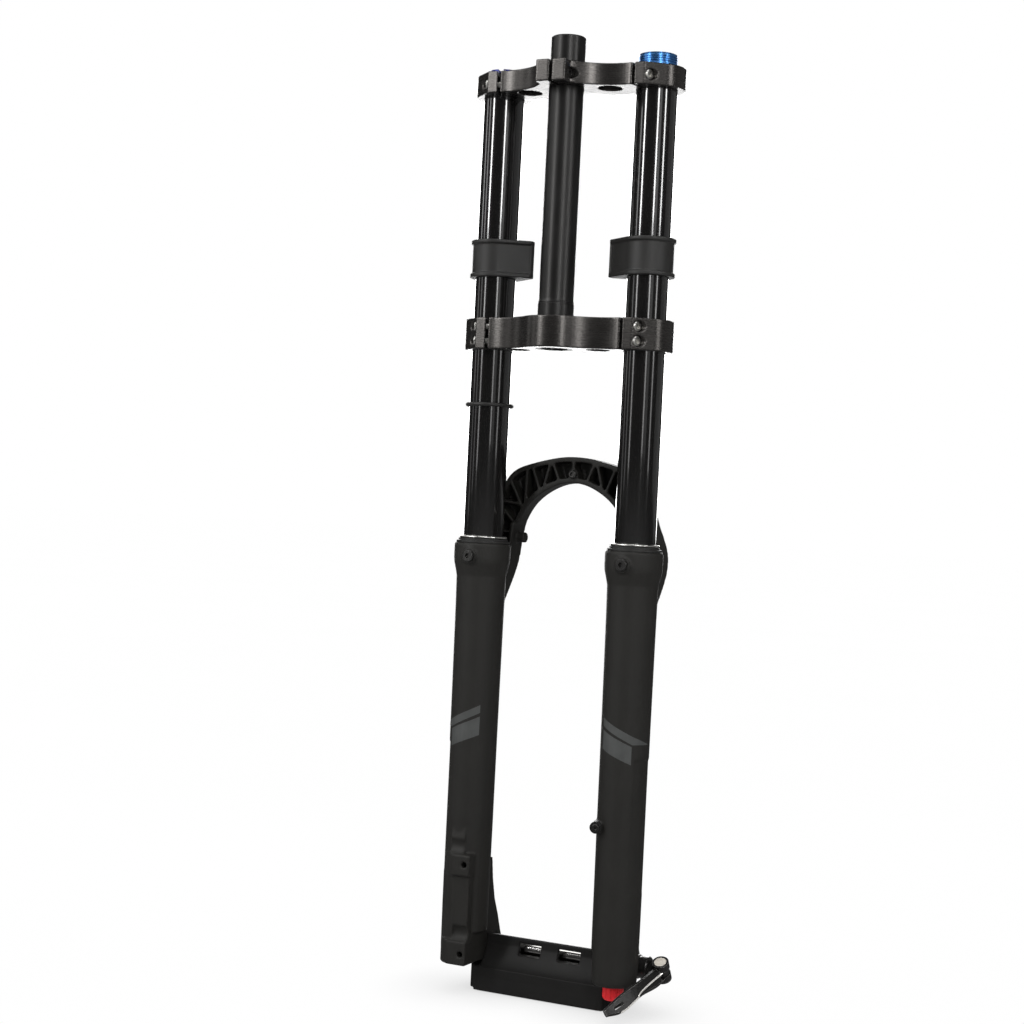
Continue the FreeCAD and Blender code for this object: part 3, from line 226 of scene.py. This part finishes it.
FINISHES = {
    "casting": finish(
        "cast_black", (0.0092, 0.0086, 0.0073), rough=0.60, vary=0.10, cloud=30, grain=1500,
        grain_depth=5e-5, grain_strength=0.28, wear_and_sheen=0.30,
        wear_and_sheen_colour=(0.030, 0.029, 0.027), edge=0.0009, spec=0.30),
    "crown": finish(
        "crown_anodised", (0.052, 0.0490, 0.0465), rough=0.27, metal=0.85, vary=0.08, cloud=40,
        grain=2600, grain_depth=1e-5, grain_strength=0.14, rough_vary=0.05, lines=WIDE_BANDS_Z,
        lines_depth=4e-6, lines_strength=0.06, wear_and_sheen=0.5, wear_and_sheen_colour=(0.15, 0.145, 0.14),
        edge=0.0007),
    "steerer": finish(
        "steerer_anodised", (0.021, 0.0205, 0.020), rough=0.36, metal=0.8, vary=0.08, cloud=35,
        grain=2400, **SATIN_GRAIN, rough_vary=0.05, lines=BANDS_Z, lines_depth=3e-6,
        lines_strength=0.05, wear_and_sheen=0.3, wear_and_sheen_colour=(0.18, 0.18, 0.18), edge=0.0004),
    "stanchion": finish(
        "stanchion_gloss", (0.0045, 0.0043, 0.0042), rough=0.14, vary=0.06, cloud=25, grain=3000,
        grain_depth=2e-7, grain_strength=0.01, rough_vary=0.02, lines=(40.0, 40.0, 1500.0),
        lines_depth=1e-7, lines_strength=0.01, edge=0.0003, spec=0.6, coat=1.0, coat_rough=0.05),
    "rubber": finish(
        "rubber_black", (0.0100, 0.0096, 0.0089), rough=0.52, vary=0.12, cloud=45, grain=1800,
        grain_strength=0.22, wear_and_sheen=0.3, wear_and_sheen_colour=(0.035, 0.035, 0.034), edge=0.0005, spec=0.4),
    "blue_cap": finish(
        "cap_blue_anodised", (0.060, 0.190, 0.450), rough=0.27, metal=0.90, wear_and_sheen=0.4,
        wear_and_sheen_colour=(0.30, 0.52, 0.85), **CAP),
    "red_knob": finish(
        "knob_red_anodised", (0.82, 0.026, 0.034), rough=0.34, metal=0.45, vary=0.10, cloud=60,
        grain=2500, **METAL_GRAIN, rough_vary=0.06, wear_and_sheen=0.4, wear_and_sheen_colour=(0.85, 0.20, 0.20),
        edge=0.0003),
    "bolt": finish(
        "bolt_zinc", (0.62, 0.61, 0.58), rough=0.28, metal=1.0, vary=0.10, cloud=120,
        **BOLT_GRAIN, rough_vary=0.10, wear_and_sheen=0.4, wear_and_sheen_colour=(0.8, 0.8, 0.78), edge=0.0003),
    "dark_bolt": finish(
        "bolt_black", (0.035, 0.034, 0.033), rough=0.33, metal=0.8, vary=0.12, cloud=120,
        **BOLT_GRAIN, wear_and_sheen=0.5, wear_and_sheen_colour=(0.2, 0.2, 0.19), edge=0.0003),
    "spring_wire": finish(
        "spring_wire", (0.66, 0.65, 0.62), rough=0.30, metal=1.0, vary=0.12, cloud=200,
        **BOLT_GRAIN, rough_vary=0.10, edge=0.0),
    "spacer_plastic": finish(
        "moulded_black", (0.0068, 0.0065, 0.0061), rough=0.56, vary=0.08, cloud=35, grain=2000,
        grain_strength=0.20, wear_and_sheen=0.3, wear_and_sheen_colour=(0.028, 0.028, 0.027), edge=0.0007, spec=0.20),
    "valve_brass": finish(
        "valve_brass", (0.66, 0.47, 0.20), rough=0.28, metal=1.0, vary=0.10, cloud=150,
        **BOLT_GRAIN, edge=0.0003),
    "bushing": finish(
        "bushing_bronze", (0.36, 0.25, 0.13), rough=0.40, metal=0.8, vary=0.12, cloud=90,
        grain=2400, grain_depth=2e-5, grain_strength=0.2, edge=0.0),
    "foam": finish(
        "foam_ring", (0.20, 0.20, 0.19), rough=0.9, vary=0.25, cloud=400, grain=1500,
        grain_depth=2e-4, grain_strength=0.6, rough_vary=0.1, edge=0.0),
    "inner_plastic": finish(
        "inner_plastic", (0.05, 0.05, 0.05), rough=0.45, vary=0.1, cloud=60, grain=2000,
        edge=0.0),
    "inner_alloy": finish(
        "inner_alloy", (0.60, 0.60, 0.60), rough=0.30, metal=1.0, vary=0.08, cloud=60,
        grain=2600, **METAL_GRAIN, lines=BANDS_Z, edge=0.0),
    "axle_alloy": finish(
        "axle_polished", (0.62, 0.61, 0.59), rough=0.10, metal=1.0, vary=0.08, cloud=70,
        grain=2600, grain_depth=4e-6, grain_strength=0.08, rough_vary=0.04, lines=BANDS_X,
        lines_depth=2e-6, lines_strength=0.04, wear_and_sheen=0.5, wear_and_sheen_colour=(0.35, 0.35, 0.34),
        edge=0.0003),
    # The lever's edges are painted near white: rubbed metal together with a painted highlight.
    "lever_alloy": finish(
        "lever_black", (0.0095, 0.0090, 0.0086), rough=0.36, metal=0.2, vary=0.10, cloud=60,
        grain=2400, **METAL_GRAIN, rough_vary=0.06, wear_and_sheen=0.85, wear_and_sheen_colour=(0.60, 0.59, 0.57),
        edge=0.0005, spec=0.35),
}
# Pieces whose finish differs from the rest of their slot
SPECIAL_FINISHES = {
    "cam_pin": finish(
        "pin_face_satin", (0.80, 0.75, 0.66), rough=0.42, metal=0.35, vary=0.08, cloud=120,
        grain=2600, **SATIN_GRAIN, lines=WIDE_BANDS_Z, wear_and_sheen=0.3, wear_and_sheen_colour=(0.9, 0.88, 0.84),
        edge=0.0003),
    "air_top_cap": finish(
        "cap_navy_anodised", (0.016, 0.020, 0.110), rough=0.30, metal=0.85, wear_and_sheen=0.5,
        wear_and_sheen_colour=(0.16, 0.26, 0.55), **CAP),
}
BAR_FINISH = finish(
    "bar_grey_print", (0.041, 0.043, 0.042), rough=0.52, vary=0.10, cloud=90, grain=2600,
    **SATIN_GRAIN, rough_vary=0.06, edge=0.0, spec=0.35)
# Bare metal of the lever's bevels, with their highlight painted into the colour.
BEVEL_METAL_AND_HIGHLIGHT = finish(
    "lever_bevel_metal_and_highlight", (0.82, 0.80, 0.76), rough=0.30, metal=0.55, vary=0.08, cloud=120,
    grain=2600, **SATIN_GRAIN, lines=(300.0, 300.0, 300.0), lines_depth=3e-6,
    lines_strength=0.05, edge=0.0)


# ---------------------------------------------------------------- piece helpers
def add_object(name, data):
    made = bpy.data.objects.new(name, data)
    scene.collection.objects.link(made)
    return made


def split_edges(piece, degrees):
    piece.modifiers.new("split", "EDGE_SPLIT").split_angle = math.radians(degrees)


def attach(piece, node):
    """Let a piece move with a CAD node."""
    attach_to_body(piece, nodes[node]["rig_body"])


def welded_copy(node, name, materials, choose_material=None):
    """A copy of a CAD mesh with joined vertices, new materials and outward normals."""
    mesh = nodes[node].data.copy()
    mesh.name = name
    mesh.materials.clear()
    for material in materials:
        mesh.materials.append(material)
    edit = bmesh.new()
    edit.from_mesh(mesh)
    bmesh.ops.remove_doubles(edit, verts=edit.verts, dist=WELD_DISTANCE)
    bmesh.ops.recalc_face_normals(edit, faces=edit.faces)
    if choose_material:
        for face in edit.faces:
            face.material_index = choose_material(face)
    edit.to_mesh(mesh)
    edit.free()
    return mesh


def mesh_object(edit, name, material):
    """Turn a bmesh into an object with outward normals, and free the bmesh."""
    bmesh.ops.recalc_face_normals(edit, faces=edit.faces)
    mesh = bpy.data.meshes.new(name)
    edit.to_mesh(mesh)
    edit.free()
    mesh.materials.append(material)
    return add_object(name, mesh)


def from_mm(points):
    return [Vector(point) / 1000 for point in points]


def direction(line, i):
    """The direction of a line of points at point i."""
    return (line[min(i + 1, len(line) - 1)] - line[max(i - 1, 0)]).normalized()


# ---------------------------------------------------------------- CAD pieces
slots = {}
for name, piece in nodes.items():
    materials = piece.data.materials
    slots[name] = materials[0].name.split(".")[0] if materials and materials[0] else ""
    if slots[name] in FINISHES:
        for i in range(len(materials)):
            materials[i] = SPECIAL_FINISHES.get(name, FINISHES[slots[name]])
    piece.data.shade_smooth()
    piece.modifiers.new("weld", "WELD").merge_threshold = WELD_DISTANCE
    split_edges(piece, 28)


# ---------------------------------------------------------------- rounded castings and mouldings
# node, name of its skin, voxel size, smoothing rounds
SKINS = [
    ("lower_casting", "lower_casting_skin", 0.00085, 4),
    ("lower_crown", "lower_crown_skin", 0.00055, 3),
    ("upper_crown", "upper_crown_skin", 0.00055, 3),
    ("shipping_spacer", "spacer_skin", 0.00065, 3),
    ("bumper_left", "bumper_left_skin", 0.00055, 3),
    ("bumper_right", "bumper_right_skin", 0.00055, 3),
]


def soften(node, name, voxel, rounds):
    """Replace a CAD solid with a remeshed copy whose edges are rounded over."""
    material = FINISHES[slots[node]]
    skin = add_object(name, welded_copy(node, name, [material]))
    remesh = skin.modifiers.new("remesh", "REMESH")
    remesh.mode = "VOXEL"
    remesh.voxel_size = voxel
    remesh.adaptivity = 0.0
    remesh.use_smooth_shade = True
    smooth = skin.modifiers.new("round", "SMOOTH")
    smooth.factor = 0.5
    smooth.iterations = rounds
    depsgraph = bpy.context.evaluated_depsgraph_get()
    baked = bpy.data.meshes.new_from_object(skin.evaluated_get(depsgraph), depsgraph=depsgraph)
    skin.modifiers.clear()
    skin.data = baked
    baked.name = name
    # Guards against a remesh that drops the material
    if not baked.materials:
        baked.materials.append(material)
    baked.shade_smooth()
    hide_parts(node)
    attach(skin, node)


for skin_entry in SKINS:
    if skin_entry[0] in nodes:
        soften(*skin_entry)


# ---------------------------------------------------------------- lever
# Line along the lever from the cam head to the tip: x, y, z in mm
LEVER_LINE = from_mm([
    (98.4, 51.0, -528.4), (98.0, 42.5, -531.6), (95.9, 31.5, -534.2), (93.0, 20.5, -537.0),
    (89.8, 11.0, -541.0), (86.0, 2.5, -546.0), (81.5, -5.2, -549.8), (77.9, -10.6, -552.2)])
LEVER_OUTWARD = Vector((0.354, -0.908, 0.2246)).normalized()
BEVEL_POINTS = (4, 5)  # points of LEVER_LINE beside which the bevel is bare metal with a painted highlight

# Bright line across the lever's face, bare metal with a painted highlight, from the cam head
# to the kink: x, y, z in mm
EDGE_LINE = from_mm([
    (102.9, 46.4, -527.4), (101.67, 44.4, -528.5), (100.31, 37.64, -530.67),
    (98.95, 30.61, -532.93), (97.55, 23.77, -535.39), (96.49, 18.76, -537.55),
    (96.1, 15.7, -539.2), (95.75, 13.9, -540.6)])
EDGE_LINE_WIDTHS = [0.9, 1.5, 1.5, 1.4, 1.3, 1.1, 0.9, 0.6]  # mm, at each point
EDGE_LINE_NORMAL = Vector((0.72, -0.40, 0.57)).normalized()
# Section of the line, in order round it: share of the half width, height off the face
EDGE_LINE_SECTION = [(0.7, 0.00016), (-0.7, 0.00016), (-1, 0.00002),
                     (-1, -0.0004), (1, -0.0004), (1, 0.00002)]

AXLE_COLLAR_X = 0.0735  # the collar and cam tongue lie beyond this


def lever_material(face):
    """1 on the lower bevel near the kink, which is bare metal with a painted highlight, and 0
    elsewhere.
    """
    centre = face.calc_center_median()
    i = min(range(len(LEVER_LINE)), key=lambda j: (LEVER_LINE[j] - centre).length)
    if i not in BEVEL_POINTS:
        return 0
    along = direction(LEVER_LINE, i)
    outward = (LEVER_OUTWARD - along * LEVER_OUTWARD.dot(along)).normalized()
    across = along.cross(outward)
    lean = face.normal.dot(across)
    return int(0.45 < face.normal.dot(outward) < 0.93 and abs(lean) > 0.35
               and (centre - LEVER_LINE[i]).dot(outward) > 0 and lean * across.z < 0)


def lever():
    mesh = welded_copy("qr_lever", "lever_body", [FINISHES["lever_alloy"], BEVEL_METAL_AND_HIGHLIGHT],
                       lever_material)
    body = add_object("lever_body", mesh)
    mesh.shade_smooth()
    split_edges(body, 25)
    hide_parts("qr_lever")
    attach(body, "qr_lever")


def edge_line():
    """The bright line, bare metal with a painted highlight, as a low closed strip set into the
    lever's face.
    """
    edit = bmesh.new()
    rings = []
    for i, (point, width) in enumerate(zip(EDGE_LINE, EDGE_LINE_WIDTHS)):
        side = direction(EDGE_LINE, i).cross(EDGE_LINE_NORMAL).normalized()
        half = width / 2000
        rings.append([edit.verts.new(point + side * half * share + EDGE_LINE_NORMAL * height)
                      for share, height in EDGE_LINE_SECTION])
    corners = len(EDGE_LINE_SECTION)
    for ring, following in zip(rings, rings[1:]):
        for j in range(corners):
            k = (j + 1) % corners
            edit.faces.new((ring[j], ring[k], following[k], following[j]))
    edit.faces.new(rings[0])
    edit.faces.new(rings[-1][::-1])
    attach(mesh_object(edit, "lever_edge_line", BEVEL_METAL_AND_HIGHLIGHT), "qr_lever")


def axle_collar():
    """The axle's collar and cam tongue are black, its shank is bare."""
    mesh = nodes["axle"].data
    mesh.materials.append(FINISHES["dark_bolt"])
    for face in mesh.polygons:
        face.material_index = 1 if face.center.x > AXLE_COLLAR_X else 0


lever()
edge_line()
axle_collar()


# ---------------------------------------------------------------- grey bars on the legs
LEG_X, LEG_Y = 0.069, 0.025
LEG_RADIUS = 0.020  # where no wall is found
RAY_START = 0.06  # from the leg's axis
BAR_PROUD, BAR_SUNK = 0.00008, 0.00025
BAR_COLUMNS, BAR_ROWS = 40, 12
# Corners: angle round the leg from its outer side in degrees, top z and bottom z in mm
UPPER_BAR = [(-130, -321.0, -327.6), (-50.4, -334.4, -341.1), (-2.0, -340.9, -341.1)]
LOWER_BAR = [(-130, -330.6, -346.0), (-51.3, -342.6, -357.2)]


def bar_heights(corners, angle):
    """Top and bottom z of a bar at an angle, in metres."""
    for (angle_a, top_a, bottom_a), (angle_b, top_b, bottom_b) in zip(corners, corners[1:]):
        if angle <= angle_b + 1e-9:
            t = (angle - angle_a) / (angle_b - angle_a)
            return (top_a + (top_b - top_a) * t) / 1000, (bottom_a + (bottom_b - bottom_a) * t) / 1000


def leg_bar(name, side, corners):
    """A thin bar that follows the leg wall. side is 1 for the +X leg and -1 for the -X leg."""
    casting = bmesh.new()
    casting.from_mesh(nodes["lower_casting"].data)
    wall = BVHTree.FromBMesh(casting)
    axis = Vector((side * LEG_X, LEG_Y, 0))
    first, last = corners[0][0], corners[-1][0]
    edit = bmesh.new()
    outer, inner = [], []
    for i in range(BAR_COLUMNS + 1):
        angle = first + (last - first) * i / BAR_COLUMNS
        top, bottom = bar_heights(corners, angle)
        turn = math.radians(angle if side > 0 else 180 - angle)
        outward = Vector((math.cos(turn), math.sin(turn), 0))
        outer.append([])
        inner.append([])
        for j in range(BAR_ROWS + 1):
            height = Vector((0, 0, top + (bottom - top) * j / BAR_ROWS))
            hit = wall.ray_cast(axis + outward * RAY_START + height, -outward, RAY_START)[0]
            radius = (hit - axis - height).length if hit else LEG_RADIUS
            centre = axis + height
            outer[-1].append(edit.verts.new(centre + outward * (radius + BAR_PROUD)))
            inner[-1].append(edit.verts.new(centre + outward * (radius - BAR_SUNK)))
    n, m = BAR_COLUMNS, BAR_ROWS
    quad = edit.faces.new
    for i in range(n):
        for j in range(m):
            quad((outer[i][j], outer[i + 1][j], outer[i + 1][j + 1], outer[i][j + 1]))
            quad((inner[i][j], inner[i][j + 1], inner[i + 1][j + 1], inner[i + 1][j]))
    for i in range(n):
        quad((outer[i][0], inner[i][0], inner[i + 1][0], outer[i + 1][0]))
        quad((outer[i][m], outer[i + 1][m], inner[i + 1][m], inner[i][m]))
    for j in range(m):
        quad((outer[0][j], outer[0][j + 1], inner[0][j + 1], inner[0][j]))
        quad((outer[n][j], inner[n][j], inner[n][j + 1], outer[n][j + 1]))
    casting.free()
    bar = mesh_object(edit, name, BAR_FINISH)
    bar.data.shade_smooth()
    split_edges(bar, 40)
    attach(bar, "lower_casting")


for side, tag in ((1, "r"), (-1, "l")):
    leg_bar("leg_bar_upper_" + tag, side, UPPER_BAR)
    leg_bar("leg_bar_lower_" + tag, side, LOWER_BAR)


# ---------------------------------------------------------------- floor
FLOOR_HALF = 30.0
FLOOR_GAP = 0.0005  # below the lowest point


def floor_finish():
    """Pale to other rays; near white to the camera, with a soft shade close under the part."""
    graph = MaterialGraph("floor_pale")
    slow = graph.noise(1.5, detail=3.0, rough=0.5)
    fine = graph.noise(350.0, detail=2.0, rough=0.5)
    graph.fill(graph.shader, {
        "Base Color": graph.mix(graph.spread(slow, 0.0, 1.0), (0.60,) * 3, (0.64,) * 3),
        "Roughness": graph.spread(fine, 0.80, 0.92),
        "Specular IOR Level": 0.05,
        "Normal": graph.bump(fine, distance=0.0001, strength=0.1)})
    occlusion = graph.node("ShaderNodeAmbientOcclusion", {"Distance": 0.07}, samples=8)
    shade = graph.span(occlusion.outputs["AO"], 0.0, 1.0, 0.62, 1.0)
    tone = graph.spread(slow, 0.996, 1.0)
    glow = graph.node("ShaderNodeEmission", {"Strength": graph.calc("MULTIPLY", shade, tone)})
    rays = graph.node("ShaderNodeLightPath").outputs
    graph.fill(graph.output, {"Surface": graph.mix_shaders(
        rays["Is Camera Ray"], graph.shader.outputs[0], glow.outputs[0])})
    return graph.material


def build_floor():
    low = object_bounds()[0]
    mesh = bpy.data.meshes.new("floor")
    half = FLOOR_HALF
    mesh.from_pydata([(-half, -half, 0), (half, -half, 0), (half, half, 0), (-half, half, 0)],
                     [], [(0, 1, 2, 3)])
    mesh.materials.append(floor_finish())
    floor = add_object("floor", mesh)
    floor.location = (0, 0, low.z - FLOOR_GAP)
    floor.visible_glossy = False


build_floor()


# ---------------------------------------------------------------- world
def build_world():
    """White to the camera, dimmer as fill, and nearly dark in reflections above the floor."""
    world = bpy.data.worlds.new("studio")
    scene.world = world
    world.use_nodes = True
    graph = Graph(world.node_tree, "ShaderNodeOutputWorld")
    rays = graph.node("ShaderNodeLightPath").outputs

    def sky(strength):
        return graph.node("ShaderNodeBackground",
                          {"Color": (1, 1, 1), "Strength": strength}).outputs[0]

    # Reflections see a pale floor only where they point well below the horizon.
    coords = graph.node("ShaderNodeTexCoord").outputs["Generated"]
    parts = graph.node("ShaderNodeSeparateXYZ", {0: coords}).outputs
    below = graph.span(parts["Z"], low=-0.16, high=-0.38, to_low=0.035, to_high=0.42,
                       interpolation="SMOOTHSTEP")
    mirror = graph.node("ShaderNodeBackground", {"Strength": below}).outputs[0]
    unseen = graph.mix_shaders(rays["Is Glossy Ray"], sky(0.55), mirror)
    surface = graph.mix_shaders(rays["Is Camera Ray"], unseen, sky(1.0))
    graph.fill(graph.output, {"Surface": surface})


build_world()

# ---------------------------------------------------------------- lights
UP = Vector((0, 0, 1))
VIEW = Vector((-0.4446, 0.8957, 0.0)).normalized()  # the camera's level line of sight
RIGHT = VIEW.cross(UP)
PIVOT = Vector((0, 0.03, 0))  # the lights stand round this and face its axis

# name prefix, lowest z, highest z
STRIP_BANDS = [("box_", 0.25, 1.9), ("box_mid_", -0.15, 0.25), ("box_low_", -0.52, -0.15)]
# tag, angle in degrees, width, radiance of each band
STRIPS = [
    ("left", -60, 0.26, 20.0, 5.0, 2.4),
    ("left_edge", -84, 0.28, 2.2, 1.0, 0.6),
    ("far_left", -106, 0.30, 2.0, 0.8, 0.4),
    ("camera", 11, 0.26, 18.0, 5.0, 2.4),
    ("right", 51, 0.26, 14.0, 4.0, 2.0),
    ("right_soft", 24, 0.5, 0.9, 0.5, 0.3),
]


def softbox(name, angle, distance, z_low, z_high, width, radiance, aim_z=None):
    """An area light; angle is from the camera's side, positive to the camera's right."""
    data = bpy.data.lights.new(name, "AREA")
    data.shape = "RECTANGLE"
    data.size = width
    data.size_y = z_high - z_low
    data.energy = math.pi * width * (z_high - z_low) * radiance
    light = add_object(name, data)
    middle = (z_low + z_high) / 2
    turn = math.radians(angle)
    outward = -VIEW * math.cos(turn) + RIGHT * math.sin(turn)
    light.location = PIVOT + outward * distance + UP * middle
    aim = PIVOT + UP * (middle if aim_z is None else aim_z)
    light.rotation_mode = "QUATERNION"
    light.rotation_quaternion = (aim - light.location).to_track_quat("-Z", "Y")
    light.visible_camera = False


for tag, angle, width, *radiances in STRIPS:
    for (prefix, z_low, z_high), radiance in zip(STRIP_BANDS, radiances):
        softbox(prefix + tag, angle, 2.4, z_low, z_high, width, radiance)
softbox("wash_right", angle=105, distance=2.6, z_low=-0.52, z_high=1.5, width=2.4, radiance=0.16)
softbox("back", angle=180, distance=2.8, z_low=-0.4, z_high=1.6, width=2.4, radiance=7.0)
softbox("top", angle=0, distance=0.6, z_low=1.9, z_high=3.1, width=1.6, radiance=3.5, aim_z=0.0)
softbox("top_left", angle=-75, distance=1.85, z_low=0.7, z_high=2.0, width=1.9, radiance=2.2,
        aim_z=-0.5)

# ---------------------------------------------------------------- camera
CAMERA_PLACE = Vector((0.6687, -1.4092, -0.1595))
ROLL = math.radians(2.79)


def build_camera():
    data = bpy.data.cameras.new("camera")
    camera = add_object("camera", data)
    data.sensor_fit = "AUTO"
    data.sensor_width = 36.0
    data.lens = 67.39
    data.clip_start = 0.05
    data.clip_end = 100.0
    up = UP * math.cos(ROLL) - RIGHT * math.sin(ROLL)
    right = UP * math.sin(ROLL) + RIGHT * math.cos(ROLL)
    turn = Matrix((right, up, -VIEW)).transposed()
    camera.matrix_world = Matrix.Translation(CAMERA_PLACE) @ turn.to_4x4()
    scene.camera = camera
    scene.view_settings.view_transform = "Standard"


build_camera()
